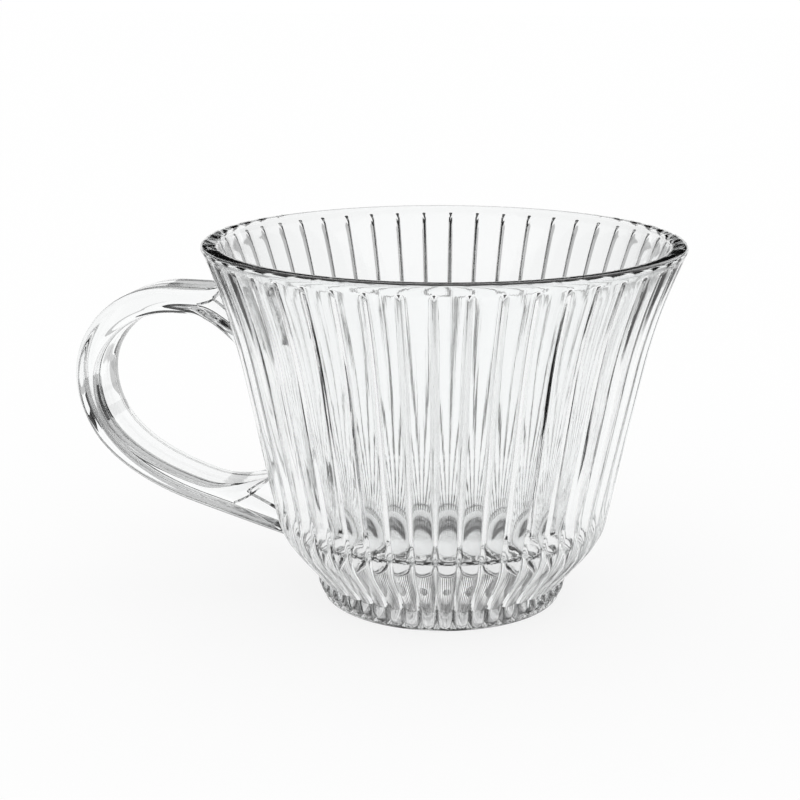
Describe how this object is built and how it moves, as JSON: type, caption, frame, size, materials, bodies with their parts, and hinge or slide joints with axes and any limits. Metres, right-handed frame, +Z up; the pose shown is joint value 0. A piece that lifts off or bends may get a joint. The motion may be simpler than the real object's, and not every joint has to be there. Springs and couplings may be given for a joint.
{
  "type": "fluted cup",
  "caption": "Clear glass tea cup with a flaring fluted bowl, smooth rim band, stepped-in scalloped foot and a looped side handle for holding hot or cold drinks.",
  "frame": {"origin": "centre of the flat underside of the foot, on the bowl's axis", "axes": "+Z up along the bowl's axis, -X towards the handle, +Y completing a right-handed frame"},
  "size_m": [0.1188, 0.09, 0.0688],
  "materials": {
    "bowl_glass": "fire-polished clear soda-lime glass",
    "foot_glass": "fire-polished clear soda-lime glass",
    "handle_glass": "fire-polished clear soda-lime glass"
  },
  "bodies": {
    "root": {"bowl": "bowl_glass", "foot": "foot_glass", "handle": "handle_glass"}
  },
  "joints": []
}
